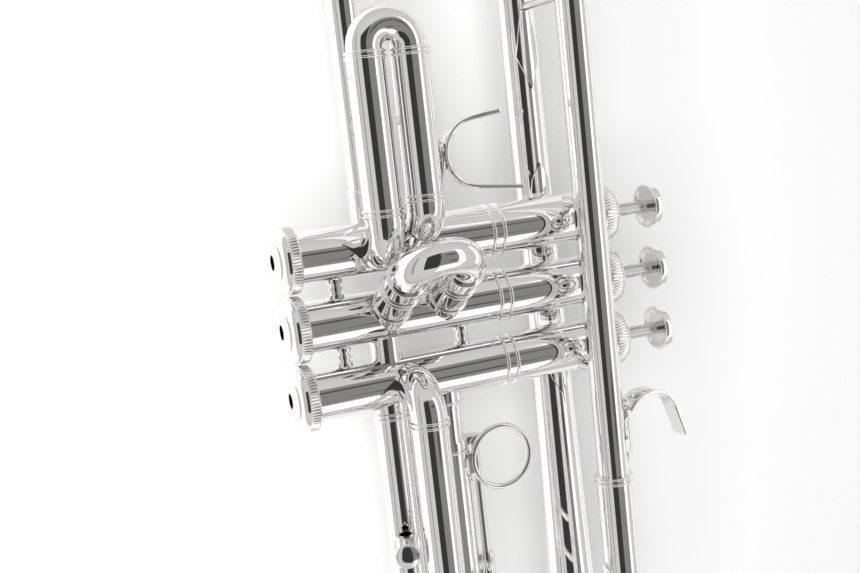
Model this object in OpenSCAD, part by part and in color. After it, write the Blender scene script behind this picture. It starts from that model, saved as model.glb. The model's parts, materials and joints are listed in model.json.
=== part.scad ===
// Silver-plated Bb trumpet with three top-sprung valves, lying on its left side.
// +X runs out through the bell, +Y is the player's up (the finger buttons), and
// +Z is the player's right (the leadpipe side). Everything is laid out from the
// foot of the middle valve and moved to the middle of the whole outline by place().

/* [Valves] */
// Distance between neighbouring valve axes
valve_pitch = 26; // [25.8:0.1:27]
// Outer radius of a valve casing
casing_r = 10; // [9.9:0.05:10.1]
// Radius of a piston
piston_r = 8.4; // [8.2:0.05:8.5]
// Gap between a piston and its casing
piston_gap = 0.05; // [0.02:0.01:0.08]
// Travel of a piston
valve_stroke = 14.5; // [12:0.5:14.5]
// Height of a valve casing's upper end
casing_top = 138; // [136:1:139]
// Outer radius of a bottom cap
bottom_cap_r = 12.6; // [12:0.1:12.7]
// Outer radius of a top cap
top_cap_r = 11.6; // [11.2:0.1:12]
// Radius of a valve stem
stem_r = 2.65; // [2.4:0.05:2.8]
// Radius of a finger button
button_r = 9.15; // [8.5:0.05:9.5]

/* [Tubing] */
// Radius of the air passage
bore_r = 5.83; // [5.75:0.01:5.9]
// Outer radius of the inner slide tubes
inner_r = 6.3; // [6.25:0.01:6.35]
// Gap between inner and outer slide tubes
slide_gap = 0.06; // [0.02:0.01:0.09]
// Outer radius of the outer slide tubes
outer_r = 7; // [6.9:0.05:7.1]
// Outer radius of a slide's bow
bow_r = 6.6; // [6.5:0.05:6.7]
// Outer radius of the leadpipe
leadpipe_r = 6.1; // [6:0.05:6.2]

/* [Bell] */
// Distance from the middle valve to the bell's rim
bell_end = 290; // [280:1:300]
// Radius of the bell at its rim
bell_rim_r = 61.5; // [60:0.5:63]
// Wall of the bell
bell_wall = 0.6; // [0.5:0.05:0.8]
// How far the bell lies to the left of the valves
bell_side = 23; // [22.5:0.5:24]
// Height of the bell and the leadpipe above the valves' feet
main_y = 120; // [119:0.5:121]

/* [Slides] */
// How far the leadpipe and the tuning slide lie to the right of the valves
main_side = 23; // [22.5:0.5:24]
// Height of the tuning slide's lower tube
tuning_low_y = 45; // [44.5:0.5:46]
// Front end of the tuning slide's outer tubes
tuning_joint_x = 125; // [124:1:127]
// Height of the first slide's lower tube
first_low_y = 37.2; // [37:0.1:37.5]
// Height of the first slide's upper tube
first_high_y = 53.6; // [53.5:0.1:54]
// How far the first slide lies to the right of the valves
first_side = 22; // [21.5:0.5:23]
// Height of the third slide's lower tube
third_low_y = 38.6; // [38:0.1:39]
// Height of the third slide's upper tube
third_high_y = 60.5; // [60:0.1:61]
// Half the distance between the second slide's tubes
second_half = 11.2; // [11:0.1:11.6]
// Height of the second slide's middle
second_y = 51.6; // [51:0.1:52]
// Lean of the second slide towards the mouthpiece
second_lean = 32; // [28:1:34]

/* [Hidden] */
$fn = 48;

plate = "silver";
sleeve_in = inner_r + slide_gap;
bead_r = 0.5;
bead_out = 0.2;
first_y = [first_low_y, first_high_y];
third_y = [third_low_y, third_high_y];

// outline of the whole, in the valves' own coordinates
mouth_x = -255;
rim_bead_r = 0.9;
bell_out = bell_rim_r + rim_bead_r;
mid_x = (mouth_x + bell_end + rim_bead_r) / 2;
mid_y = (main_y + bell_out) / 2;
floor_z = -bell_side - bell_out;

// valve heights
cap_rim_y = 8.4;
casing_foot = 3.2;
ledge_y = 89.5;
guide_h = 3;
upper_bore_r = 8.9;
piston_foot = 29;
piston_top = 86;
barrel_r = 7.8;
barrel_in = 7;
barrel_top = 140.3;
cap_top_y = 144.6;
button_y = cap_top_y + valve_stroke + 0.3;
button_h = 3.6;
port_r = 5.2;
port_low = 46;

// slide stations along X
first_joint_low = -88;
first_joint_up = -50.6;
first_bow_x = -97.5;
third_joint = 112;
third_collar = 57;
third_bow_x = 124;
tuning_bow_x = 139;
bell_bow_x = -137;
bell_cuts = [150, 228, 268];
second_start = 2;
second_joint = 26;
second_bow_t = 37;
leadpipe_start = -166;
leadpipe_end = 84;
sleeve_start = 75;
knuckle_bend = 10.5;
first_bend = 9;
first_lean = 25;
cross_y = 39.5;
tail_y = 46;
tail_r = 6.4;
bell_bow_r = 7.2;
ferrule = 8;
stop_y = third_y[1] + 10.9;
stop_r = 1.8;
stop_x = 131.2;
lyre_x = 89;
lyre_lean = 20;
lyre_out = 11.5;
lyre_bore_r = 2.5;
tuning_span = (main_y - tuning_low_y) / 2;
key_turn = 30;
key_pivot_turn = 12;
key_pivot_out = 11.1;
key_w = 5;
key_pin_r = 1;

function valve_x(i) = (i - 2) * valve_pitch;
function bell_r(x) = 6.5 + (bell_rim_r - 6.5) * pow(31 / (bell_end - x + 31), 1.48);

// ---- helpers ----
module place() translate([-mid_x, -mid_y, -floor_z]) children();
module up_y() rotate([-90, 0, 0]) children();
module ahead_x() rotate([0, 90, 0]) children();
module at_valve(i) translate([valve_x(i), 0, 0]) children();

// a straight tube along +Z with raised beads at the heights listed
module tube(r_out, r_in, len, beads = []) {
    rotate_extrude() {
        translate([r_in, 0]) square([r_out - r_in, len]);
        for (b = beads) translate([r_out + bead_out, b]) circle(r = bead_r);
    }
}

// a tube along +X from x to x + len, at height y and side z
module tube_x(x, y, z, r_out, r_in, len, beads = []) {
    translate([x, y, z]) ahead_x() tube(r_out, r_in, len, beads);
}

// part of a ring, flat on XY, from angle a, turning through sweep
module bend(bend_r, r_out, r_in, a, sweep) {
    rotate([0, 0, a]) rotate_extrude(angle = sweep) translate([bend_r, 0]) difference() {
        circle(r = r_out);
        circle(r = r_in);
    }
}

// a round bar between two points
module strut(p, q, r) {
    v = q - p;
    len = norm(v);
    translate(p) rotate([0, acos(v[2] / len), atan2(v[1], v[0])]) cylinder(r = r, h = len);
}

// the solid that a valve casing fills, used to cut tube ends to it
module casing_block(i) {
    at_valve(i) up_y() cylinder(r = casing_r, h = casing_top);
}

// a bent tube from a slide on the valves' right, ending in a stub that leaves the casing at an angle
function knuckle_back(side, r, lean) = r * cos(lean) + tan(lean) * (side - r + r * sin(lean));

module knuckle(y, side, r, lean) {
    stub = (side - r + r * sin(lean)) / cos(lean) - 3.4;
    translate([-knuckle_back(side, r, lean), y, side - r]) rotate([90, 0, 0])
        bend(r, outer_r, bore_r, lean, 90 - lean);
    translate([0, y, 0]) rotate([0, -lean, 0]) translate([0, 0, 4])
        tube(outer_r + 0.25, bore_r - 0.15, stub);
}

// the lines of the second slide's two tubes, +Z running outwards
module second_path() {
    for (s = [-1, 1]) translate([second_start, second_y + s * second_half, 0])
        rotate([0, -second_lean, 0]) children();
}

// a plate that hugs a tube along X, from x0 to x1 with [x, half-width] corners between, facing angle a
module plate_on(y, z, r, x0, x1, corners, a) {
    back = [for (k = [len(corners) - 1:-1:0]) [corners[k][0], -corners[k][1]]];
    translate([0, y, z]) rotate([a, 0, 0]) intersection() {
        translate([x0, 0, 0]) ahead_x() tube(r + 0.9, r, x1 - x0);
        linear_extrude(height = r + 5) polygon(concat([[x0, 0]], corners, [[x1, 0]], back));
    }
}

// an oval plate of half-length l and half-width w
module foot(x, y, z, r, l, w, a) {
    plate_on(y, z, r, x - l, x + l, [[x - l * 0.45, w * 0.8], [x, w], [x + l * 0.45, w * 0.8]], a);
}

// ---- valves ----
// air passages that meet a casing: [height, angle about the valve from +Z towards +X]
function ports(i) =
    i == 1 ? [[first_y[0], 0], [first_y[1], -first_lean], [tail_y, 180], [second_y, 90]]
    : i == 2 ? [[second_y, -90], [cross_y, 90]]
    : [[cross_y, -90], [tuning_low_y, 0], [third_y[0], 90], [third_y[1], 90]];

module casing_ports(i) {
    for (p = ports(i)) translate([0, p[0], 0]) rotate([0, p[1], 0])
        cylinder(r = bore_r, h = casing_r + 2);
    if (i == 2) translate([-valve_x(2), 0, 0]) second_path() cylinder(r = bore_r, h = 14);
}

module valve_casing(i) {
    color(plate) place() at_valve(i) difference() {
        up_y() rotate_extrude() difference() {
            union() {
                translate([0, casing_foot]) square([casing_r, casing_top - casing_foot]);
                for (b = [85.5, 89.8]) translate([casing_r, b]) circle(r = 0.75);
            }
            translate([0, casing_foot - 1]) square([piston_r + piston_gap, casing_top]);
            translate([0, ledge_y]) square([upper_bore_r, casing_top]);
        }
        casing_ports(i);
    }
}

module casing_spools() {
    color(plate) place() for (i = [1, 2], y = [22.5, 71]) difference() {
        translate([valve_x(i) + 8, y, 0]) ahead_x() rotate_extrude() {
            square([2.1, valve_pitch - 16]);
            for (s = [0, valve_pitch - 18.8]) translate([0, s]) square([3.2, 2.8]);
            translate([0, (valve_pitch - 16) / 2 - 0.6]) square([2.8, 1.2]);
        }
        casing_block(i);
        casing_block(i + 1);
    }
}

module crossing_tubes() {
    color(plate) place() for (c = [[1, second_y], [2, cross_y]]) difference() {
        tube_x(valve_x(c[0]), c[1], 0, 6, bore_r - 0.4, valve_pitch);
        casing_block(c[0]);
        casing_block(c[0] + 1);
    }
}

module bottom_cap(i) {
    vent_r = 2.9;
    step_r = 9.2;
    color(plate) place() at_valve(i) up_y() rotate_extrude() polygon([
        [vent_r, 0], [step_r, 0.7], [step_r + 0.3, 1.3], [bottom_cap_r - 0.9, 3],
            [bottom_cap_r - 0.3, 3.7],
        [bottom_cap_r, 4.1], [bottom_cap_r, 7.9], [bottom_cap_r - 0.4, cap_rim_y], [casing_r, cap_rim_y],
        [casing_r, casing_foot], [piston_r, 2.2], [vent_r, 1.2]
    ]);
}

module top_cap(i) {
    color(plate) place() at_valve(i) up_y() rotate_extrude() polygon([
        [casing_r, 132.6], [top_cap_r - 0.4, 132.6], [top_cap_r, 133.2], [top_cap_r, 140.2],
        [top_cap_r - 0.5, 141], [10.2, 142.6], [7.6, 144], [4.6, cap_top_y], [stem_r + 0.08, cap_top_y],
        [stem_r + 0.08, barrel_top + 0.1], [upper_bore_r, barrel_top + 0.1], [upper_bore_r, casing_top],
        [casing_r, casing_top]
    ]);
}

module valve_guides() {
    color("ivory") place() for (i = [1:3]) at_valve(i) translate([0, ledge_y, 0]) up_y() difference() {
        union() {
            cylinder(r = barrel_in - 0.3, h = guide_h);
            translate([-1.4, -upper_bore_r + 0.05, 0]) cube([2.8, 2 * upper_bore_r - 0.1, guide_h]);
        }
        translate([0, 0, -1]) cylinder(r = 1.5, h = guide_h + 2);
    }
}

module piston(i) {
    color("lightsteelblue") place() at_valve(i) difference() {
        translate([0, piston_foot, 0]) up_y() cylinder(r = piston_r, h = piston_top - piston_foot);
        translate([0, piston_foot - 1, 0]) up_y() cylinder(r = 6.8, h = 6);
        for (k = [0:2]) translate([0, port_low + k * valve_stroke, 0])
            rotate([0, 60 * k + 30 * i, 0]) cylinder(r = port_r, h = 3 * piston_r, center = true);
    }
}

// spring barrel above the piston, closed by the stem that carries the button
module valve_stem(i) {
    slot_h = valve_stroke + guide_h + 2;
    color("gainsboro") place() at_valve(i) up_y() difference() {
        union() {
            translate([0, 0, piston_top]) cylinder(r = barrel_r, h = barrel_top - piston_top);
            cylinder(r = stem_r, h = button_y + 0.8);
        }
        cylinder(r = barrel_in, h = barrel_top - 2.2);
        translate([-1.7, -barrel_r - 1, ledge_y - 1]) cube([3.4, 2 * barrel_r + 2, slot_h]);
    }
}

module finger_button(i) {
    color(plate) place() at_valve(i) translate([0, button_y, 0]) up_y() rotate_extrude() polygon([
        [0, 0.8], [2.8, 0.8], [6.4, 1], [7.7, 0.15], [8.3, 0], [8.8, 0.3], [button_r, 1], [button_r, 2.4],
        [8.9, 3.1], [8.2, button_h], [7.2, button_h - 0.1], [6.6, 3.1], [0, 2.9]
    ]);
}

// coil spring between the guide and the top of the barrel
module valve_spring(i) {
    y0 = ledge_y + guide_h + 0.35;
    y1 = barrel_top - 2.6;
    turns = 9;
    coil_r = 5.6;
    wire_r = 0.4;
    steps = 14 * turns;
    sides = 6;
    points = [for (k = [0:steps], s = [0:sides - 1])
        let (a = 360 * turns * k / steps, b = 360 * s / sides, r = coil_r + wire_r * cos(b))
        [r * cos(a), r * sin(a), y0 + (y1 - y0) * k / steps + wire_r * sin(b)]];
    walls = [for (k = [0:steps - 1], s = [0:sides - 1])
        let (t = (s + 1) % sides, p = k * sides, q = p + sides)
        each [[p + s, p + t, q + s], [p + t, q + t, q + s]]];
    first_end = [[for (s = [sides - 1:-1:0]) s]];
    last_end = [[for (s = [0:sides - 1]) steps * sides + s]];
    color("dimgray") place() at_valve(i) up_y()
        polyhedron(points, concat(walls, first_end, last_end), convexity = 10);
}

// ---- leadpipe and mouthpiece ----
module mouthpiece() {
    color(plate) place() translate([mouth_x, main_y, main_side]) ahead_x() difference() {
        rotate_extrude() union() {
            polygon([
                [0, 1], [10.5, 0.3], [12.4, 0], [13.5, 1.4], [13.4, 4], [12.3, 8.6], [11.9, 13],
                    [11.4, 17],
                [9.6, 21], [6.6, 25.5], [5.3, 29], [4.9, 34], [5, 42], [5.3, 63.5], [4.9, 86], [0, 86]
            ]);
            translate([5, 37]) circle(r = 0.8);
        }
        rotate_extrude() polygon([
            [0, -1], [8.9, -1], [8.6, 1.5], [8.3, 4], [7, 7.5], [4.6, 10.6], [1.9, 12.6], [1.85, 16],
            [4.1, 87], [0, 87]
        ]);
    }
}

module mouthpiece_receiver() {
    len = 34;
    color(plate) place() translate([leadpipe_start - 26, main_y, main_side]) ahead_x() difference() {
        rotate_extrude() {
            polygon([[0, 0], [7.3, 0], [7.6, 0.5], [7.6, 2.6], [7.3, 3.2], [6.9, 3.4], [6.9, 30],
                [6.6, len], [0, len]]);
            for (b = [5.2, 29]) translate([6.9, b]) circle(r = 0.7);
        }
        translate([0, 0, -1]) cylinder(r = 5.4, h = len + 2);
        translate([0, 0, 26]) cylinder(r = leadpipe_r, h = len);
    }
}

module leadpipe() {
    color(plate) place() tube_x(leadpipe_start, main_y, main_side, leadpipe_r, leadpipe_r - 0.6,
        leadpipe_end - leadpipe_start);
}

module leadpipe_sleeve() {
    color(plate) place() difference() {
        tube_x(sleeve_start, main_y, main_side, outer_r + 0.1, leadpipe_r, tuning_joint_x - sleeve_start,
            [0.9, 2.8, tuning_joint_x - sleeve_start - 1]);
        translate([leadpipe_end, main_y, main_side]) ahead_x() cylinder(r = sleeve_in, h = 60);
    }
}

// ---- tuning slide ----
module tuning_lower_tube() {
    start = valve_x(3) + knuckle_back(main_side, knuckle_bend, 0);
    len = tuning_joint_x - start;
    color(plate) place() difference() {
        union() {
            tube_x(start, tuning_low_y, main_side, outer_r, sleeve_in, len, [1.2, 3, len - 1]);
            translate([valve_x(3), 0, 0]) mirror([1, 0, 0])
                knuckle(tuning_low_y, main_side, knuckle_bend, 0);
        }
        casing_block(3);
    }
}

module tuning_slide_bow() {
    centre = [tuning_bow_x, main_y - tuning_span, main_side];
    straight = tuning_bow_x - tuning_joint_x - ferrule;
    color(plate) place() difference() {
        union() {
            translate(centre) bend(tuning_span, bow_r, bore_r, -90, 180);
            for (y = [main_y, tuning_low_y]) {
                tube_x(tuning_joint_x + 0.2, y, main_side, outer_r, inner_r, ferrule - 0.2,
                    [1, ferrule - 1.2]);
                tube_x(tuning_joint_x + ferrule, y, main_side, bow_r, bore_r, straight);
            }
            strut(on_bow(key_turn, bow_r - 0.6), on_bow(key_turn, 10), 3.2);
            for (s = [-1, 1]) translate([0, 0, s * (key_w / 2 + 0.9)]) {
                flat_bar(on_bow(key_pivot_turn, bow_r - 1.3),
                    on_bow(key_pivot_turn, key_pivot_out), 4.4, 1.4);
                translate(on_bow(key_pivot_turn, key_pivot_out))
                    cylinder(r = 2.2, h = 1.4, center = true);
            }
        }
        strut(on_bow(key_turn, 0), on_bow(key_turn, 11), 1.6);
        translate(on_bow(key_pivot_turn, key_pivot_out)) cylinder(r = key_pin_r, h = 12, center = true);
    }
}

module tuning_slide_legs() {
    color("gainsboro") place() for (leg = [[main_y, leadpipe_end + 2], [tuning_low_y, 70]])
        tube_x(leg[1], leg[0], main_side, inner_r, bore_r, tuning_joint_x + ferrule - leg[1]);
}

module tuning_slide_brace() {
    x = tuning_joint_x + 11;
    color(plate) place() difference() {
        translate([x, 0, main_side]) up_y() {
            translate([0, 0, tuning_low_y]) cylinder(r = 1.9, h = 2 * tuning_span);
            for (y = [tuning_low_y + bow_r - 0.6, main_y - bow_r - 1.6]) translate([0, 0, y])
                cylinder(r = 3.2, h = 2.2);
            translate([0, 0, main_y - tuning_span]) sphere(r = 3);
        }
        for (y = [main_y, tuning_low_y]) translate([x - 10, y, main_side]) ahead_x()
            cylinder(r = bow_r, h = 20);
    }
}

// ---- water key, on the underside of the tuning slide's bow ----
// a point in the bow's plane, at an angle from straight down and a distance out from the tube's middle
function on_bow(turn, out) = [
    tuning_bow_x + (tuning_span + out) * sin(turn),
    main_y - tuning_span - (tuning_span + out) * cos(turn),
    main_side
];

// a bar in the bow's plane between two points, t thick and w wide
module flat_bar(p, q, t, w) {
    v = (q - p) / norm(q - p);
    n = [-v[1], v[0]] * t / 2;
    translate([0, 0, main_side]) linear_extrude(height = w, center = true) polygon([
        [p[0] + n[0], p[1] + n[1]], [q[0] + n[0], q[1] + n[1]],
        [q[0] - n[0], q[1] - n[1]], [p[0] - n[0], p[1] - n[1]]
    ]);
}

module water_key() {
    pivot = on_bow(key_pivot_turn, key_pivot_out);
    tip = on_bow(key_turn, 13);
    back = pivot + 16 * (pivot - tip) / norm(pivot - tip);
    side = [back[1] - pivot[1], pivot[0] - back[0], 0] / 16;
    color("gainsboro") place() difference() {
        union() {
            translate(pivot) cylinder(r = 2.3, h = key_w, center = true);
            flat_bar(tip, back, 2, 2.4);
            strut(on_bow(key_turn, 11.5), on_bow(key_turn, 13.9), 4);
            strut(back - side, back + side, 4.6);
        }
        strut(on_bow(key_turn, 11), on_bow(key_turn, 12.4), 3.3);
        translate(pivot) cylinder(r = key_pin_r + 0.05, h = 12, center = true);
    }
}

module water_key_cork() {
    color("peru") place() strut(on_bow(key_turn, 10.05), on_bow(key_turn, 12.4), 3.3);
}

module water_key_spring() {
    wire_r = 0.35;
    coil_r = 3.05;
    pivot = on_bow(key_pivot_turn, key_pivot_out);
    color("dimgray") place() for (s = [-1, 1]) translate(pivot + [0, 0, s * 1.85]) {
        rotate_extrude() translate([coil_r, 0]) circle(r = wire_r, $fn = 16);
        translate([coil_r, 0, 0]) up_y() cylinder(r = wire_r, h = 5.2, $fn = 16);
    }
}

module water_key_screw() {
    color("gainsboro") place() translate(on_bow(key_pivot_turn, key_pivot_out)) difference() {
        union() {
            cylinder(r = key_pin_r, h = 9.4, center = true);
            translate([0, 0, 4.1]) cylinder(r = 2, h = 1.1);
        }
        translate([-3, -0.3, 4.8]) cube([6, 0.6, 1]);
    }
}

// ---- bell ----
// the bell's wall as one length of its curve, with stations closing up towards the mouth
module bell_length(x0, x1, rings) {
    stations = [for (k = [0:rings]) x1 - (x1 - x0) * pow(k / rings, 1.6)];
    outer = [for (x = stations) [bell_r(x), x]];
    inner = [for (k = [rings:-1:0]) [bell_r(stations[k]) - bell_wall, stations[k]]];
    polygon(concat(outer, inner));
}

module on_bell_axis() place() translate([0, main_y, -bell_side]) ahead_x() children();

module bell() {
    color(plate) on_bell_axis() rotate_extrude() union() {
        bell_length(bell_cuts[2], bell_end, 14);
        translate([bell_rim_r, bell_end]) circle(r = rim_bead_r);
    }
}

module bell_flare() {
    color(plate) on_bell_axis() rotate_extrude() bell_length(bell_cuts[1], bell_cuts[2], 10);
}

module bell_throat() {
    color(plate) on_bell_axis() rotate_extrude() bell_length(bell_cuts[0], bell_cuts[1], 8);
}

module bell_stem() {
    color(plate) on_bell_axis() rotate_extrude() bell_length(bell_bow_x + 1, bell_cuts[0], 12);
}

module bell_bow() {
    span = (main_y - tail_y) / 2;
    end_r = bell_r(bell_bow_x) + 0.08;
    color(plate) place() {
        translate([bell_bow_x, main_y - span, -bell_side])
            bend(span, bell_bow_r, bell_bow_r - 0.6, 90, 180);
        tube_x(bell_bow_x, main_y, -bell_side, end_r + 0.6, bell_bow_r - 0.6, 1);
        tube_x(bell_bow_x + 1, main_y, -bell_side, end_r + 0.6, end_r, 6, [5]);
        tube_x(bell_bow_x, tail_y, -bell_side, bell_bow_r, bore_r, 1);
        tube_x(bell_bow_x + 1, tail_y, -bell_side, bell_bow_r, tail_r, 6, [5]);
    }
}

module bell_tail() {
    start = valve_x(1) - knuckle_back(bell_side, knuckle_bend, 0);
    color(plate) place() difference() {
        union() {
            tube_x(bell_bow_x + 1, tail_y, -bell_side, tail_r, bore_r, start - bell_bow_x - 1);
            tube_x(start - ferrule - 3, tail_y, -bell_side, outer_r, bore_r, ferrule + 3, [1]);
            translate([valve_x(1), 0, 0]) mirror([0, 0, 1])
                knuckle(tail_y, bell_side, knuckle_bend, 0);
        }
        casing_block(1);
    }
}

// ---- first slide ----
module first_lower_tube() {
    end = valve_x(1) - knuckle_back(first_side, knuckle_bend, 0);
    len = end - first_joint_low;
    color(plate) place() difference() {
        union() {
            tube_x(first_joint_low, first_y[0], first_side, outer_r, sleeve_in, len,
                [len - 4.6, len - 2.8]);
            translate([valve_x(1), 0, 0]) knuckle(first_y[0], first_side, knuckle_bend, 0);
        }
        casing_block(1);
    }
}

module first_upper_tube() {
    end = valve_x(1) - knuckle_back(first_side, first_bend, first_lean);
    collar = end - first_joint_up;
    color(plate) place() difference() {
        union() {
            tube_x(first_joint_up, first_y[1], first_side, outer_r, bore_r, collar,
                [collar - 2.6, collar - 0.8]);
            tube_x(first_bow_x + 4.5, first_y[1], first_side, inner_r, bore_r, end - first_bow_x - 4.5);
            translate([valve_x(1), 0, 0])
                knuckle(first_y[1], first_side, first_bend, first_lean);
        }
        casing_block(1);
    }
}

module first_tubes() {
    first_lower_tube();
    first_upper_tube();
}

module first_slide_bow() {
    half = (first_y[1] - first_y[0]) / 2;
    color(plate) place() {
        translate([first_bow_x, first_y[0] + half, first_side]) bend(half, bow_r, bore_r, 90, 180);
        for (y = first_y) tube_x(first_bow_x, y, first_side, bow_r, bore_r, 4);
    }
}

module first_slide_legs() {
    gap = 0.2;
    joint = first_bow_x + 4;
    color("gainsboro") place() {
        for (y = first_y) tube_x(first_bow_x + 0.6, y, first_side, outer_r, bow_r, 3.4, [0.6, 2.4]);
        tube_x(joint, first_y[0], first_side, outer_r, bore_r, first_joint_low - gap - joint);
        tube_x(joint, first_y[0], first_side, inner_r, bore_r, 43);
        tube_x(joint, first_y[1], first_side, outer_r, sleeve_in, first_joint_up - gap - joint);
    }
}

// open band for the left thumb, standing on the first slide's upper tube
module thumb_saddle() {
    x = -57.5;
    y = 75.6;
    r = 13.3;
    band = 1.7;
    w = 4.6;
    arms = [12.5, 19];
    flare = 7;
    cut = [30 * cos(flare), 30 * sin(flare)];
    top = first_y[1] + outer_r;
    color(plate) place() {
        translate([x, y, first_side - w / 2]) linear_extrude(height = w) {
            difference() {
                circle(r = r);
                circle(r = r - band);
                polygon([[0, 0], [cut[0], -cut[1]], [cut[0], 30], [-cut[0], 30], [-cut[0], -cut[1]]]);
            }
            rotate(-flare) translate([r - band, 0]) square([band, arms[1]]);
            rotate(flare) translate([-r, 0]) square([band, arms[0]]);
        }
        translate([x - 5, top + 0.5, first_side - 1.8]) cube([10, y - r - top + 0.2, 3.6]);
        foot(x + 2, first_y[1], first_side, outer_r, 9, 4, -90);
    }
}

// ---- second slide ----
module second_tubes() {
    color(plate) place() difference() {
        second_path() tube(outer_r, sleeve_in, second_joint, [13.4, second_joint - 1]);
        casing_block(2);
    }
}

module second_slide_legs() {
    cover = second_bow_t - second_joint - 1;
    color("gainsboro") place() second_path() {
        translate([0, 0, 15]) tube(inner_r, bore_r, second_joint + 4 - 15);
        translate([0, 0, second_joint + 0.2]) tube(outer_r, inner_r, 3.8, [1]);
        translate([0, 0, second_joint + 4]) tube(outer_r, bow_r, cover - 4, [cover - 5]);
    }
}

module second_slide_bow() {
    start = second_joint + 4;
    color(plate) place() translate([second_start, second_y, 0]) rotate([0, -second_lean, 0]) {
        for (s = [-1, 1]) translate([0, s * second_half, start])
            tube(bow_r, bore_r, second_bow_t - start);
        translate([0, 0, second_bow_t]) rotate([90, 0, 90]) bend(second_half, bow_r, bore_r, 0, 180);
    }
}

// ---- third slide ----
module third_lower_tube() {
    len = third_joint - valve_x(3);
    color(plate) place() difference() {
        tube_x(valve_x(3), third_y[0], 0, outer_r, sleeve_in, len,
            [casing_r + 1.6, casing_r + 3.4, len - 1]);
        casing_block(3);
    }
}

module third_upper_tube() {
    color(plate) place() difference() {
        union() {
            tube_x(valve_x(3), third_y[1], 0, inner_r, bore_r, third_joint - 2 - valve_x(3));
            tube_x(valve_x(3), third_y[1], 0, outer_r, bore_r, casing_r + 3, [casing_r + 2]);
            tube_x(third_collar - 3.2, third_y[1], 0, outer_r + 0.4, bore_r, 3);
            translate([third_collar - 3.2, third_y[1] + inner_r, -2.6])
                cube([3, stop_y + 2.4 - third_y[1] - inner_r, 5.2]);
        }
        casing_block(3);
        translate([third_collar - 10, stop_y, 0]) ahead_x() cylinder(r = stop_r, h = 20);
    }
}

module third_tubes() {
    third_lower_tube();
    third_upper_tube();
}

module third_slide_legs() {
    sleeve = third_joint + 5 - third_collar;
    guide_x = 103;
    guide_len = 10;
    color("gainsboro") place() difference() {
        union() {
            tube_x(third_collar, third_y[1], 0, outer_r, sleeve_in, sleeve, [0.9, sleeve - 1]);
            tube_x(third_joint + 0.2, third_y[0], 0, outer_r, bore_r, 4.8, [1]);
            tube_x(62, third_y[0], 0, inner_r, bore_r, third_joint + 5 - 62);
            translate([guide_x, stop_y, 0]) ahead_x() cylinder(r = 3.2, h = guide_len);
            translate([guide_x, third_y[1] + sleeve_in + 0.3, -1.5]) cube([guide_len, 4, 3]);
        }
        translate([guide_x - 1, stop_y, 0]) ahead_x() cylinder(r = stop_r + 0.08, h = guide_len + 2);
    }
}

module third_slide_bow() {
    half = (third_y[1] - third_y[0]) / 2;
    start = third_joint + 5;
    color(plate) place() {
        translate([third_bow_x, third_y[0] + half, 0]) bend(half, bow_r, bore_r, -90, 180);
        for (y = third_y) {
            tube_x(start, y, 0, outer_r, bore_r, 3, [2]);
            tube_x(start, y, 0, bow_r, bore_r, third_bow_x - start);
        }
    }
}

module finger_ring() {
    x = 63.6;
    y = 80.5;
    side = 4.8;
    ring_r = 12.3;
    color(plate) place() difference() {
        union() {
            translate([x, y, side]) rotate_extrude() translate([ring_r, 0]) circle(r = 1.2);
            translate([x - 4, third_y[1], side - 0.9]) cube([8, y - ring_r - third_y[1] - 0.1, 1.8]);
            foot(x + 1, third_y[1], 0, outer_r, 6.4, 3, -55);
        }
        translate([0, third_y[1], 0]) ahead_x() cylinder(r = outer_r, h = 100);
    }
}

module stop_rod() {
    color("gainsboro") place() translate([third_collar - 3.2, stop_y, 0]) ahead_x()
        cylinder(r = stop_r, h = 84);
}

module stop_nuts() {
    color(plate) place() for (x = [stop_x, stop_x + 3.2]) tube_x(x, stop_y, 0, 2.9, stop_r, 2.8);
}

// ---- fittings ----
module lyre_frame() translate([lyre_x, third_y[0], 0]) rotate([lyre_lean, 0, 0]) children();

module lyre_socket() {
    half = 6;
    color(plate) place() {
        foot(lyre_x, third_y[0], 0, outer_r, 9, 5, lyre_lean);
        difference() {
            lyre_frame() {
                translate([-half, 0, lyre_out]) ahead_x() cylinder(r = 4.2, h = 2 * half);
                translate([-half, -2.6, outer_r + 0.3]) cube([2 * half, 5.2, 3]);
                translate([0, 0, lyre_out]) cylinder(r = 2.6, h = 5.2);
            }
            lyre_frame() translate([-20, 0, lyre_out]) ahead_x() cylinder(r = lyre_bore_r, h = 40);
            lyre_frame() translate([0, 0, lyre_out]) cylinder(r = 1.5, h = 10);
        }
    }
}

module lyre_screw() {
    color("gainsboro") place() lyre_frame() translate([0, 0, lyre_out + 2.7]) rotate_extrude() polygon([
        [0, 0], [1.2, 0], [1.45, 0.3], [1.45, 3.4], [2.4, 3.6], [4.3, 3.7], [4.7, 4.1],
        [4.7, 6], [4.3, 6.4], [2, 6.6], [0, 6.6]
    ]);
}

// hook for the right little finger, standing on the leadpipe
module finger_hook() {
    x = 56;
    y = 138;
    r = 12.2;
    t = 1.5;
    w = 9;
    top = main_y + leadpipe_r;
    color(plate) place() difference() {
        union() {
            translate([x, y, main_side]) {
                rotate([0, 0, 107]) rotate_extrude(angle = 133) translate([r - t, -w / 2]) square([t, w]);
                rotate([0, 0, 17]) translate([-0.4, r - t, -w / 2]) cube([13.5, t, w]);
            }
            translate([48.6, top - 1, main_side - 3]) cube([18, 2.2, 6]);
            foot(61, main_y, main_side, leadpipe_r, 13, 5, -90);
        }
        translate([30, main_y, main_side]) ahead_x() cylinder(r = leadpipe_r, h = 60);
    }
}

// a round post at x between two tubes given as [radius, y, z], cut to both
module post(x, from, to, r) {
    difference() {
        strut([x, from[1], from[2]], [x, to[1], to[2]], r);
        translate([x - 20, from[1], from[2]]) ahead_x() cylinder(r = from[0], h = 40);
        translate([x - 20, to[1], to[2]]) ahead_x() cylinder(r = to[0], h = 40);
    }
}

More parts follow.
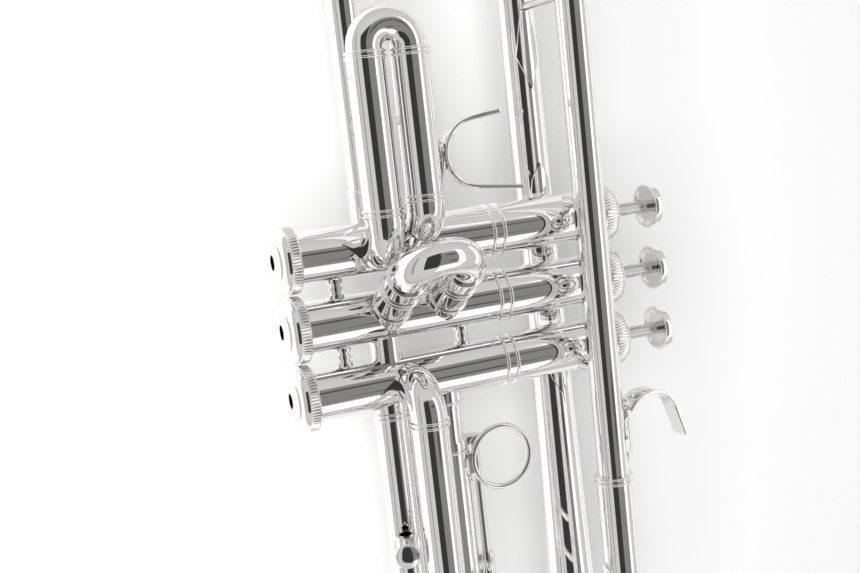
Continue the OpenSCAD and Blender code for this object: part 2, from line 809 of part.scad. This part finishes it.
module footed_post(x, from, to, r, half) {
    turn = atan2(from[1] - to[1], to[2] - from[2]);
    post(x, from, to, r);
    foot(x, from[1], from[2], from[0], half, half * 0.5, turn);
    foot(x, to[1], to[2], to[0], half, half * 0.5, turn + 180);
}

module tube_braces() {
    rear = -111.8;
    front = 117;
    tail_x = -72;
    spear = [-4.5, 32.6];
    spear_w = [[-3, 1.8], [3, 2.2], [19.5, 5]];
    bell_grip = bell_r(rear + spear[1]) + 0.05;
    corners = [for (c = spear_w) [rear + c[0], c[1]]];
    color(plate) place() {
        post(rear, [bell_grip, main_y, -bell_side], [leadpipe_r, main_y, main_side], 1.7);
        plate_on(main_y, -bell_side, bell_grip, rear + spear[0], rear + spear[1], corners, 0);
        foot(rear, main_y, main_side, leadpipe_r, 8, 4, 180);
        footed_post(tail_x, [tail_r, tail_y, -bell_side], [outer_r, first_y[0], first_side], 1.8, 7);
        footed_post(front, [outer_r, tuning_low_y, main_side], [outer_r + 0.1, main_y, main_side],
            1.9, 6);
    }
}

// short posts that hold the bell and the leadpipe to the outer casings
module valve_braces() {
    grip = 0.05;
    foot_out = 4;
    foot_half = 12;
    color(plate) place() for (i = [1, 3], right = [0, 1]) {
        out = sign(valve_x(i));
        x = valve_x(i) + 7 * out;
        r = right == 1 ? leadpipe_r : bell_r(x + foot_out * out + foot_half) + grip;
        side = right == 1 ? main_side : -bell_side;
        difference() {
            strut([x, main_y, 0], [x, main_y, side], 2.4);
            casing_block(i);
            translate([x - 20, main_y, side]) ahead_x() cylinder(r = r, h = 40);
        }
        foot(x + foot_out * out, main_y, side, r, foot_half, 4.5, 180 * right);
    }
}

valve_casing(1);  // valve_casing_1
valve_casing(2);  // valve_casing_2
valve_casing(3);  // valve_casing_3
casing_spools();
crossing_tubes();
bottom_cap(1);  // bottom_cap_1
bottom_cap(2);  // bottom_cap_2
bottom_cap(3);  // bottom_cap_3
top_cap(1);  // top_cap_1
top_cap(2);  // top_cap_2
top_cap(3);  // top_cap_3
valve_guides();
piston(1);  // piston_1
piston(2);  // piston_2
piston(3);  // piston_3
valve_stem(1);  // valve_stem_1
valve_stem(2);  // valve_stem_2
valve_stem(3);  // valve_stem_3
finger_button(1);  // finger_button_1
finger_button(2);  // finger_button_2
finger_button(3);  // finger_button_3
valve_spring(1);  // valve_spring_1
valve_spring(2);  // valve_spring_2
valve_spring(3);  // valve_spring_3
mouthpiece();
mouthpiece_receiver();
leadpipe();
leadpipe_sleeve();
tuning_lower_tube();
bell();
bell_flare();
bell_throat();
bell_stem();
bell_bow();
bell_tail();
first_tubes();
first_slide_bow();
first_slide_legs();
thumb_saddle();
second_tubes();
second_slide_bow();
second_slide_legs();
third_tubes();
third_slide_bow();
third_slide_legs();
finger_ring();
stop_rod();
stop_nuts();
lyre_socket();
lyre_screw();
finger_hook();
tube_braces();
valve_braces();
tuning_slide_bow();
tuning_slide_legs();
tuning_slide_brace();
water_key();
water_key_cork();
water_key_spring();
water_key_screw();
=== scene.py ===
"""A silver-plated trumpet held level on its left side, with the bell's rim touching a white table. The
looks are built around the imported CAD."""

import json
import math

import bmesh
import bpy
from mathutils import Matrix, Vector


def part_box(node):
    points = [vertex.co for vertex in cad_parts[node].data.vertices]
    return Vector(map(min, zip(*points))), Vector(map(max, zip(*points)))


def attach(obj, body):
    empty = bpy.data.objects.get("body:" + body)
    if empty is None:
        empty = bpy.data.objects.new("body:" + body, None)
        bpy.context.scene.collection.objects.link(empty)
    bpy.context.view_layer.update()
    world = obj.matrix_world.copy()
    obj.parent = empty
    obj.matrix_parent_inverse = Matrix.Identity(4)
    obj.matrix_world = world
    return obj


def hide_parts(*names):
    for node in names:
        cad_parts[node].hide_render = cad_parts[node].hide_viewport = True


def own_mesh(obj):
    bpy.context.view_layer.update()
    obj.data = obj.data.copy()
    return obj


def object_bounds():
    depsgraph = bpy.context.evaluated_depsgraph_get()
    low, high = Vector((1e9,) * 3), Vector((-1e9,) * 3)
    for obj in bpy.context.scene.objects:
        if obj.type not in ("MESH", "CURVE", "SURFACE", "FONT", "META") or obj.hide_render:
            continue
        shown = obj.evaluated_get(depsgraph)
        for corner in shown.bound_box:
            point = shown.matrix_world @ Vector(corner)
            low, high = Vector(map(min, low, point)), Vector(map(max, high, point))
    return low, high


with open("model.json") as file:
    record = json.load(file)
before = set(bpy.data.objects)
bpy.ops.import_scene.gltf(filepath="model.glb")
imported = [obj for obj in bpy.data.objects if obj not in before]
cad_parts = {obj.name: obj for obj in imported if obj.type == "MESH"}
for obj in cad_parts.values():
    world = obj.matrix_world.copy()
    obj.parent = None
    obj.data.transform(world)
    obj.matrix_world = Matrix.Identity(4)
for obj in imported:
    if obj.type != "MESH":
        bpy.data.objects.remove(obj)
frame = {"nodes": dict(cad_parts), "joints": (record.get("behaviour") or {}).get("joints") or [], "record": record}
cad_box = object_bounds()

MM = 0.001
VALVES = (1, 2, 3)
Y_AXIS = Vector((0, 1, 0))

# how fine each pattern in a material is: the noise's scale on object coordinates in metres
HANDLING_MARKS = 85
POLISHING_LINES = 240
SPECKS = 950
TARNISH_CLOUDS = 30
RIPPLES = 60
LAPPING_LINES = 180

# how much the polishing lines count beside the marks, and the sum at which the plate is most worn
LINE_STRENGTH = 0.35
MOST_WORN = 2.0
# how far lapped metal's roughness goes down and up from its middle
LAPPED_SMOOTHER = 0.08
LAPPED_ROUGHER = 0.12

SILVER = (0.93, 0.925, 0.91)
TARNISH_TINT = (0.86, 0.83, 0.77)


# ---- materials ----
def new_material(name):
    """A new material with its nodes, its links and its own shader."""
    mat = bpy.data.materials.new(name)
    mat.use_nodes = True
    nodes = mat.node_tree.nodes
    links = mat.node_tree.links
    return mat, nodes, links, nodes["Principled BSDF"]


def add_noise(nodes, links, coord, scale, detail, stretch=None):
    """A noise texture on object coordinates. A stretch packs each axis that many times tighter."""
    noise = nodes.new("ShaderNodeTexNoise")
    noise.inputs["Scale"].default_value = scale
    noise.inputs["Detail"].default_value = detail
    if stretch:
        mapping = nodes.new("ShaderNodeMapping")
        mapping.inputs["Scale"].default_value = stretch
        links.new(coord.outputs["Object"], mapping.inputs["Vector"])
        links.new(mapping.outputs["Vector"], noise.inputs["Vector"])
    else:
        links.new(coord.outputs["Object"], noise.inputs["Vector"])
    return noise


def add_ramp(nodes, links, source, stops):
    """A grey ramp driven by source, with stops of [(position, grey)]."""
    ramp = nodes.new("ShaderNodeValToRGB")
    while len(ramp.color_ramp.elements) < len(stops):
        ramp.color_ramp.elements.new(0.5)
    for element, (at, grey) in zip(ramp.color_ramp.elements, stops):
        element.position = at
        element.color = (grey, grey, grey, 1)
    links.new(source, ramp.inputs["Fac"])
    return ramp


def plated(name, tint, rough=(0.03, 0.16), tarnish=0.25, scratch=(1, 14, 14), wave=0.00002):
    """Bright silver plate. Its gloss has handling marks, specks and faint polishing lines, and its colour
    has a little warm tarnish."""
    mat, nodes, links, shader = new_material(name)
    coord = nodes.new("ShaderNodeTexCoord")
    shader.inputs["Metallic"].default_value = 1.0

    marks = add_noise(nodes, links, coord, HANDLING_MARKS, 6)
    lines = add_noise(nodes, links, coord, POLISHING_LINES, 2, scratch)
    marks_cut = add_ramp(nodes, links, marks.outputs["Fac"], [(0.5, 0.0), (0.72, 1.0)])
    lines_cut = add_ramp(nodes, links, lines.outputs["Fac"], [(0.56, 0.0), (0.7, 1.0)])
    worn = nodes.new("ShaderNodeMath")
    worn.operation = "MULTIPLY_ADD"
    links.new(lines_cut.outputs["Color"], worn.inputs[0])
    worn.inputs[1].default_value = LINE_STRENGTH
    specks = add_noise(nodes, links, coord, SPECKS, 2)
    specks_cut = add_ramp(nodes, links, specks.outputs["Fac"], [(0.64, 0.0), (0.7, 1.0)])
    spotted = nodes.new("ShaderNodeMath")
    spotted.operation = "MULTIPLY_ADD"
    links.new(specks_cut.outputs["Color"], spotted.inputs[0])
    links.new(marks_cut.outputs["Color"], spotted.inputs[1])
    links.new(marks_cut.outputs["Color"], spotted.inputs[2])
    links.new(spotted.outputs["Value"], worn.inputs[2])
    gloss = nodes.new("ShaderNodeMapRange")
    gloss.inputs["From Max"].default_value = MOST_WORN
    gloss.clamp = True
    gloss.inputs["To Min"].default_value = rough[0]
    gloss.inputs["To Max"].default_value = rough[1]
    links.new(worn.outputs["Value"], gloss.inputs["Value"])
    links.new(gloss.outputs["Result"], shader.inputs["Roughness"])

    cloud = add_noise(nodes, links, coord, TARNISH_CLOUDS, 5)
    cloud_cut = add_ramp(nodes, links, cloud.outputs["Fac"], [(0.5, 0.0), (0.78, 1.0)])
    amount = nodes.new("ShaderNodeMath")
    amount.operation = "MULTIPLY"
    links.new(cloud_cut.outputs["Color"], amount.inputs[0])
    amount.inputs[1].default_value = tarnish
    mix = nodes.new("ShaderNodeMix")
    mix.data_type = "RGBA"
    mix.inputs["A"].default_value = (*tint, 1)
    mix.inputs["B"].default_value = (*[t * warm for t, warm in zip(tint, TARNISH_TINT)], 1)
    links.new(amount.outputs["Value"], mix.inputs["Factor"])
    links.new(mix.outputs["Result"], shader.inputs["Base Color"])

    ripple = add_noise(nodes, links, coord, RIPPLES, 1)
    bump = nodes.new("ShaderNodeBump")
    bump.inputs["Strength"].default_value = 1.0
    bump.inputs["Distance"].default_value = wave
    links.new(ripple.outputs["Fac"], bump.inputs["Height"])
    links.new(bump.outputs["Normal"], shader.inputs["Normal"])
    return mat


def brushed(name, tint, rough, stretch):
    """Fine-lapped metal, with a grain in its colour and its gloss."""
    mat, nodes, links, shader = new_material(name)
    coord = nodes.new("ShaderNodeTexCoord")
    shader.inputs["Metallic"].default_value = 1.0
    grain = add_noise(nodes, links, coord, LAPPING_LINES, 3, stretch)
    gloss = nodes.new("ShaderNodeMapRange")
    gloss.inputs["To Min"].default_value = rough - LAPPED_SMOOTHER
    gloss.inputs["To Max"].default_value = rough + LAPPED_ROUGHER
    links.new(grain.outputs["Fac"], gloss.inputs["Value"])
    links.new(gloss.outputs["Result"], shader.inputs["Roughness"])
    shade = add_ramp(nodes, links, grain.outputs["Fac"], [(0.3, 0.75), (0.7, 1.0)])
    mix = nodes.new("ShaderNodeMix")
    mix.data_type = "RGBA"
    mix.blend_type = "MULTIPLY"
    mix.inputs["Factor"].default_value = 1.0
    mix.inputs["A"].default_value = (*tint, 1)
    links.new(shade.outputs["Color"], mix.inputs["B"])
    links.new(mix.outputs["Result"], shader.inputs["Base Color"])
    return mat


def soft_stuff(name, colour, rough, spots, depth):
    """Cork or moulded plastic: mottled colour with a small bump."""
    mat, nodes, links, shader = new_material(name)
    coord = nodes.new("ShaderNodeTexCoord")
    grain = add_noise(nodes, links, coord, spots, 5)
    shade = add_ramp(nodes, links, grain.outputs["Fac"], [(0.3, 0.7), (0.7, 1.1)])
    mix = nodes.new("ShaderNodeMix")
    mix.data_type = "RGBA"
    mix.blend_type = "MULTIPLY"
    mix.inputs["Factor"].default_value = 1.0
    mix.inputs["A"].default_value = (*colour, 1)
    links.new(shade.outputs["Color"], mix.inputs["B"])
    links.new(mix.outputs["Result"], shader.inputs["Base Color"])
    shader.inputs["Roughness"].default_value = rough
    bump = nodes.new("ShaderNodeBump")
    bump.inputs["Distance"].default_value = depth
    links.new(grain.outputs["Fac"], bump.inputs["Height"])
    links.new(bump.outputs["Normal"], shader.inputs["Normal"])
    return mat


MATERIALS = {
    "silver_plate": plated("silver_plate", SILVER),
    "silver_valves": plated("silver_valves", SILVER, scratch=(14, 1, 14)),
    "mouthpiece_plate": plated("mouthpiece_plate", (0.94, 0.93, 0.91), rough=(0.03, 0.1),
                               tarnish=0.15),
    "screw_plate": plated("screw_plate", (0.9, 0.895, 0.885), rough=(0.06, 0.2)),
    "valve_metal": brushed("valve_metal", (0.72, 0.71, 0.69), 0.24, (1, 12, 1)),
    "spring_wire": brushed("spring_wire", (0.42, 0.41, 0.39), 0.34, (8, 8, 8)),
    "guide_plastic": soft_stuff("guide_plastic", (0.86, 0.83, 0.75), 0.45, 300, 0.00002),
    "cork": soft_stuff("cork", (0.5, 0.33, 0.19), 0.9, 900, 0.0002),
}


def dress(obj, material):
    """Gives a piece its material."""
    obj.data.materials.clear()
    obj.data.materials.append(MATERIALS[material])


slots = {part["node"]: part["material_slot"] for part in frame["record"]["subparts"]}
for node, obj in frame["nodes"].items():
    upright = node.startswith(("valve_casing", "casing_spools"))
    dress(obj, "silver_valves" if upright else slots[node])


# ---- turned pieces with knurling ----
# degrees: where two faces of a turned piece meet more sharply than this, the edge shows
SHARP_ANGLE = 35
# radii in mm: the caps' holes and threads, and the tiny ring where a piece without a hole meets its axis
VENT_R = 2.9
STEM_HOLE_R = 2.73
BOTTOM_THREAD_R = 10.05
TOP_THREAD_R = 10.02
AXIS_R = 0.01


def valve_base(node):
    """The middle of the lower end of a round piece that stands along Y."""
    low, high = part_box(node)
    return Vector(((low.x + high.x) / 2, low.y, (low.z + high.z) / 2))


def round_size(node):
    """The outer radius and the height, in mm, of a round piece that stands along Y."""
    low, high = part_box(node)
    return (high.x - low.x) / 2 / MM, (high.y - low.y) / MM


def turned(name, profile, base, axis=Y_AXIS, teeth=0, depth=0.0, knurl=(0, 0), steps=192):
    """A ring of the profile [(radius, height)] in mm about an axis from base. From the knurl's lower
    height to its upper one, the radius goes in and out, teeth times round."""
    turn = Y_AXIS.rotation_difference(axis)
    bm = bmesh.new()
    rings = []
    for k in range(steps):
        a = 2 * math.pi * k / steps
        wave = depth * (0.5 - 0.5 * math.cos(teeth * a))
        ring = []
        for r, h in profile:
            reach = (r - wave if teeth and knurl[0] <= h <= knurl[1] else r) * MM
            point = Vector((reach * math.cos(a), h * MM, reach * math.sin(a)))
            ring.append(bm.verts.new(base + turn @ point))
        rings.append(ring)
    count = len(profile)
    for k in range(steps):
        here, there = rings[k], rings[(k + 1) % steps]
        for j in range(count):
            m = (j + 1) % count
            bm.faces.new((here[j], here[m], there[m], there[j]))
    bmesh.ops.recalc_face_normals(bm, faces=bm.faces)
    mesh = bpy.data.meshes.new(name)
    bm.to_mesh(mesh)
    bm.free()
    obj = bpy.data.objects.new(name, mesh)
    bpy.context.collection.objects.link(obj)
    mesh.shade_smooth()
    mesh.set_sharp_from_angle(angle=math.radians(SHARP_ANGLE))
    return obj


def arc_points(cx, cy, r, start, end, count):
    """Points on a circle between two angles in degrees."""
    return [
        (cx + r * math.cos(math.radians(start + (end - start) * k / count)),
         cy + r * math.sin(math.radians(start + (end - start) * k / count)))
        for k in range(count + 1)
    ]


def bottom_cap(i):
    """A cap with a vent in its slightly domed end, a rounded edge and a fine knurl."""
    node = f"bottom_cap_{i}"
    cap_r, cap_h = round_size(node)
    knurl = (4.5, 7.6)
    knurl_r = cap_r - 0.02
    # from the vent out over the end and its rounded edge, up the knurl, and back down the inside
    profile = [(VENT_R, 0.02), (3.2, 0.0), (6.5, 0.12), (8.4, 0.45), (9.2, 0.75), (9.45, 1.2)]
    profile += arc_points(9.4, 4.4, 2.9, -72, -10, 6)
    profile += [(cap_r - 0.45, 4.15), (cap_r - 0.08, 4.35), (knurl_r, knurl[0]), (knurl_r, knurl[1])]
    profile += [(cap_r - 0.1, 7.8), (cap_r - 0.5, cap_h - 0.1), (cap_r - 0.9, cap_h)]
    profile += [(BOTTOM_THREAD_R, cap_h), (BOTTOM_THREAD_R, 3.3), (8.4, 2.3), (VENT_R, 1.3)]
    cap = turned(f"bottom_cap_visual_{i}", profile, valve_base(node), teeth=64, depth=0.34,
                 knurl=knurl, steps=512)
    dress(cap, "silver_valves")
    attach(cap, "horn")
    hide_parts(node)


def top_cap(i):
    """A cap with a bead at its foot, a knurl, and a domed top that the stem comes through."""
    node = f"top_cap_{i}"
    rim_r, top = round_size(node)
    knurl = (2.4, 6.7)
    knurl_r = rim_r - 0.02
    # up the outside from the foot, over the dome to the stem's hole, and back down the inside
    profile = [(TOP_THREAD_R, 0.0), (rim_r - 0.5, 0.0), (rim_r - 0.1, 0.35), (rim_r, 0.7), (rim_r, 1.6)]
    profile += [(rim_r - 0.3, 1.9), (rim_r - 0.3, 2.2), (knurl_r, knurl[0]), (knurl_r, knurl[1])]
    profile += [(rim_r - 0.3, 6.95)]
    profile += arc_points(rim_r - 1.6, 7.1, 1.45, 0, 75, 6)
    profile += [(9.0, 9.5), (7.6, 10.6), (5.6, 11.5), (4.4, top - 0.1), (3.9, top), (2.8, top)]
    profile += [(STEM_HOLE_R, top - 0.2), (STEM_HOLE_R, 7.9), (8.9, 7.8), (8.9, 5.5), (TOP_THREAD_R, 5.4)]
    cap = turned(f"top_cap_visual_{i}", profile, valve_base(node), teeth=56, depth=0.3,
                 knurl=knurl, steps=448)
    dress(cap, "silver_valves")
    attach(cap, "horn")
    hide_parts(node)


def finger_button(i):
    """A button with a rounded rim and a dished top."""
    node = f"finger_button_{i}"
    rim_r, top = round_size(node)
    # out along the underside, round the rim, and back over the dished top
    profile = [(AXIS_R, 0.85), (2.9, 0.8), (5.6, 0.9), (6.6, 0.7), (7.3, 0.3)]
    profile += arc_points(rim_r - 0.85, 0.85, 0.85, -110, -10, 7)
    profile += [(rim_r, 1.2), (rim_r, 2.3)]
    profile += arc_points(rim_r - 1.0, top - 1.05, 1.0, 8, 105, 8)
    profile += [(7.4, top - 0.25), (6.9, top - 0.6), (6.4, 2.75), (4.0, 2.6), (AXIS_R, 2.58)]
    button = turned(f"finger_button_visual_{i}", profile, valve_base(node), steps=96)
    dress(button, "silver_valves")
    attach(button, f"valve_{i}")
    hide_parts(node)


for i in VALVES:
    bottom_cap(i)
    top_cap(i)
    finger_button(i)


# ---- valve springs ----
def helix(name, node, turns, coil_r, wire_r, steps=28):
    """A round wire wound evenly about the node's Y axis, from its lower end to its upper one."""
    low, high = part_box(node)
    x0, _, z0 = valve_base(node)
    y0 = low.y + wire_r * MM
    y1 = high.y - wire_r * MM
    curve = bpy.data.curves.new(name, "CURVE")
    curve.dimensions = "3D"
    curve.bevel_depth = wire_r * MM
    curve.bevel_resolution = 3
    line = curve.splines.new("POLY")
    count = turns * steps
    line.points.add(count)
    for k in range(count + 1):
        t = k / count
        a = 2 * math.pi * turns * t
        x = x0 + coil_r * MM * math.cos(a)
        z = z0 + coil_r * MM * math.sin(a)
        line.points[k].co = (x, y0 + (y1 - y0) * t, z, 1)
    curve.use_fill_caps = True
    obj = bpy.data.objects.new(name, curve)
    bpy.context.collection.objects.link(obj)
    bpy.ops.object.select_all(action="DESELECT")
    obj.select_set(True)
    bpy.context.view_layer.objects.active = obj
    bpy.ops.object.convert(target="MESH")
    obj.data.shade_smooth()
    return obj


def joint(name):
    """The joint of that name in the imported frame."""
    return next(j for j in frame["joints"] if j["name"] == name)


def valve_spring(i):
    """A wound spring on the horn."""
    node = f"valve_spring_{i}"
    spring = helix(f"valve_spring_visual_{i}", node, turns=9, coil_r=5.6, wire_r=0.4)
    dress(spring, "spring_wire")
    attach(spring, "horn")
    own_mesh(spring)
    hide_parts(node)


for i in VALVES:
    valve_spring(i)


# ---- the lyre's thumbscrew ----
# mm: where the shank starts along the joint's axis, and the radii of the shank and the head
SCREW_START = -0.8
SHANK_R = 1.45
HEAD_R = 4.68


def lyre_screw():
    """A plain shank and a knurled, slightly domed head, turned about the joint's own axis."""
    turn_joint = joint("lyre_screw_turn")
    axis = Vector(turn_joint["axis"])
    base = Vector(turn_joint["pos_m"]) + axis * SCREW_START * MM
    knurl = (4.2, 5.4)
    # up the shank, out under the head, up its knurl and over its dome
    profile = [(AXIS_R, 0), (1.2, 0), (SHANK_R, 0.3), (SHANK_R, 3.4), (2.4, 3.6), (4.2, 3.7), (4.6, 4.0)]
    profile += [(HEAD_R, knurl[0]), (HEAD_R, knurl[1]), (4.5, 5.65), (4.0, 5.95), (3.1, 6.25)]
    profile += [(2.0, 6.45), (0.9, 6.55), (AXIS_R, 6.58)]
    screw = turned("lyre_screw_visual", profile, base, axis, teeth=30, depth=0.4, knurl=knurl, steps=240)
    dress(screw, "screw_plate")
    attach(screw, "lyre_screw")
    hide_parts("lyre_screw")


lyre_screw()


# ---- rounded edges on the bent strips ----
# metres between corner points that count as one, and the degrees past which an edge is rounded
CORNER_GAP = 0.000002
SHARP_EDGE = 50


def soften_edges(node, width, segments=4):
    """Rounds a bent strip's sharp edges by width mm. The weld joins corner points that lie together. The
    clamp is off because the mesh's short edges would hold the bevel to almost nothing."""
    obj = frame["nodes"][node]
    weld = obj.modifiers.new("weld", "WELD")
    weld.merge_threshold = CORNER_GAP
    bevel = obj.modifiers.new("bevel", "BEVEL")
    bevel.width = width * MM
    bevel.segments = segments
    bevel.limit_method = "ANGLE"
    bevel.angle_limit = math.radians(SHARP_EDGE)
    bevel.use_clamp_overlap = False


soften_edges("thumb_saddle", 0.7)
soften_edges("finger_hook", 0.6)


# ---- stage: table, light and camera ----
# metres: the table's side, and how far it lies under the trumpet
TABLE_SIDE = 8
TABLE_GAP = 0.0002
TABLE_WHITE = 0.93
TABLE_TOP = cad_box[0].z - TABLE_GAP


def table():
    """A pale matt sheet just under the trumpet."""
    mat, _, _, shader = new_material("table_white")
    shader.inputs["Base Color"].default_value = (TABLE_WHITE, TABLE_WHITE, TABLE_WHITE, 1)
    shader.inputs["Roughness"].default_value = 0.9
    shader.inputs["Specular IOR Level"].default_value = 0.2
    bpy.ops.mesh.primitive_plane_add(size=1, location=(0, 0, TABLE_TOP))
    plane = bpy.context.object
    plane.name = "table"
    plane.scale = (TABLE_SIDE, TABLE_SIDE, 1)
    plane.data.materials.append(mat)


def bare_material(name):
    """A new material with no nodes but its output."""
    mat = bpy.data.materials.new(name)
    mat.use_nodes = True
    nodes = mat.node_tree.nodes
    nodes.clear()
    return mat, nodes, mat.node_tree.links, nodes.new("ShaderNodeOutputMaterial")


def only_in_reflections(obj):
    """Hides a stage piece from everything but mirrored rays."""
    obj.visible_camera = False
    obj.visible_diffuse = False
    obj.visible_shadow = False
    obj.visible_transmission = False


def card(name, low, high, level, fade):
    """A flat card between two opposite corners that only shows in reflections. Level is its brightness,
    and fade is the share of each side over which it turns clear."""
    mat, nodes, links, out = bare_material(name)
    flat = next(k for k in range(3) if low[k] == high[k])
    across = [k for k in range(3) if k != flat]
    coord = nodes.new("ShaderNodeTexCoord")
    split = nodes.new("ShaderNodeSeparateXYZ")
    links.new(coord.outputs["Generated"], split.inputs["Vector"])
    mask = nodes.new("ShaderNodeMath")
    mask.operation = "MULTIPLY"
    stops = [(0.0, 0.0), (fade, 1.0), (1.0 - fade, 1.0), (1.0, 0.0)]
    for side, k in enumerate(across):
        ramp = add_ramp(nodes, links, split.outputs[k], stops)
        ramp.color_ramp.interpolation = "EASE"
        links.new(ramp.outputs["Color"], mask.inputs[side])
    glow = nodes.new("ShaderNodeEmission")
    glow.inputs["Color"].default_value = (level, level, level * 0.99, 1)
    clear = nodes.new("ShaderNodeBsdfTransparent")
    mix = nodes.new("ShaderNodeMixShader")
    links.new(mask.outputs["Value"], mix.inputs["Fac"])
    links.new(clear.outputs["BSDF"], mix.inputs[1])
    links.new(glow.outputs["Emission"], mix.inputs[2])
    links.new(mix.outputs["Shader"], out.inputs["Surface"])
    ends = (low, high)
    verts = []
    for u, v in [(0, 0), (1, 0), (1, 1), (0, 1)]:
        point = list(low)
        point[across[0]] = ends[u][across[0]]
        point[across[1]] = ends[v][across[1]]
        verts.append(point)
    mesh = bpy.data.meshes.new(name)
    mesh.from_pydata(verts, [], [(0, 1, 2, 3)])
    mesh.materials.append(mat)
    plane = bpy.data.objects.new(name, mesh)
    bpy.context.collection.objects.link(plane)
    only_in_reflections(plane)


def pale_room(radius, level):
    """A sphere round everything that only shows in reflections, a little darker towards its floor."""
    bpy.ops.mesh.primitive_uv_sphere_add(radius=radius, segments=48, ring_count=24)
    room = bpy.context.object
    room.name = "pale_room"
    mat, nodes, links, out = bare_material("pale_room")
    coord = nodes.new("ShaderNodeTexCoord")
    split = nodes.new("ShaderNodeSeparateXYZ")
    links.new(coord.outputs["Generated"], split.inputs["Vector"])
    shade = add_ramp(nodes, links, split.outputs["Z"], [(0.45, level * 0.9), (1.0, level * 1.05)])
    glow = nodes.new("ShaderNodeEmission")
    links.new(shade.outputs["Color"], glow.inputs["Color"])
    links.new(glow.outputs["Emission"], out.inputs["Surface"])
    room.data.materials.append(mat)
    only_in_reflections(room)


def softbox(name, size, place, energy):
    """A rectangular light aimed at the middle of the trumpet, which the plate doesn't mirror."""
    data = bpy.data.lights.new(name, "AREA")
    data.shape = "RECTANGLE"
    data.size, data.size_y = size
    data.energy = energy
    light = bpy.data.objects.new(name, data)
    bpy.context.collection.objects.link(light)
    light.location = place
    light.visible_glossy = False
    light.rotation_euler = (Vector(place) - Vector(LIGHT_AIM)).to_track_quat("Z", "Y").to_euler()


table()

# what the plate mirrors: dark and grey strips of ceiling over the horn, white beside them, a pale room
CEILING = 1.15
ABOVE = CEILING + 0.01
TOPMOST = CEILING + 0.02
BELOW = CEILING - 0.01
card("card_dark", (-0.85, -0.95, CEILING), (1.0, -0.1, CEILING), 0.04, 0.08)
card("card_grey_near", (-0.8, -0.2, ABOVE), (0.8, 0.72, ABOVE), 0.24, 0.07)
card("card_dark_left", (-0.47, -0.05, BELOW), (-0.27, 0.7, BELOW), 0.07, 0.35)
card("card_dark_right", (0.25, 0.2, BELOW), (0.42, 0.6, BELOW), 0.07, 0.35)
card("card_white_far", (-1.1, 0.66, TOPMOST), (1.1, 1.3, TOPMOST), 1.3, 0.1)
card("card_white_bell", (0.78, -0.1, CEILING), (2.6, 1.2, CEILING), 1.3, 0.08)
card("card_white_buttons", (-1.2, 1.7, -0.05), (1.2, 1.7, 0.45), 1.1, 0.12)
card("card_low_stripe", (-1.4, -1.3, 0.5), (1.2, -1.3, 0.72), 0.3, 0.3)
pale_room(5.0, 0.64)

LIGHT_AIM = (0, 0, 0.05)
softbox("key", (0.9, 0.9), (-0.1, -0.7, 1.25), 18)
softbox("fill", (1.2, 1.0), (0.1, 0.9, 1.2), 4)

world = bpy.data.worlds.new("studio")
bpy.context.scene.world = world
world.use_nodes = True
background = world.node_tree.nodes["Background"]
background.inputs["Strength"].default_value = 1.0
background.inputs["Color"].default_value = (0.34, 0.34, 0.335, 1)

# the camera looks down on the valves, with the mouthpiece end at the top of the picture
RIGHT = Vector((0.1115, 0.9207, 0.3739))
UP = Vector((-0.9832, 0.1569, -0.0932))
BACK = Vector((-0.1445, -0.3572, 0.9228))
CAMERA_AT = (-0.08587, -0.17973, 0.46944)
camera_data = bpy.data.cameras.new("camera")
camera_data.lens = 45.1
camera_data.sensor_width = 36
camera_data.clip_start = 0.01
camera_data.clip_end = 30
camera = bpy.data.objects.new("camera", camera_data)
bpy.context.collection.objects.link(camera)
camera_turn = Matrix((RIGHT, UP, BACK)).transposed().to_4x4()
camera.matrix_world = Matrix.Translation(CAMERA_AT) @ camera_turn
bpy.context.scene.camera = camera

view = bpy.context.scene.view_settings
view.view_transform = "Standard"
view.look = "None"
view.exposure = 0.0
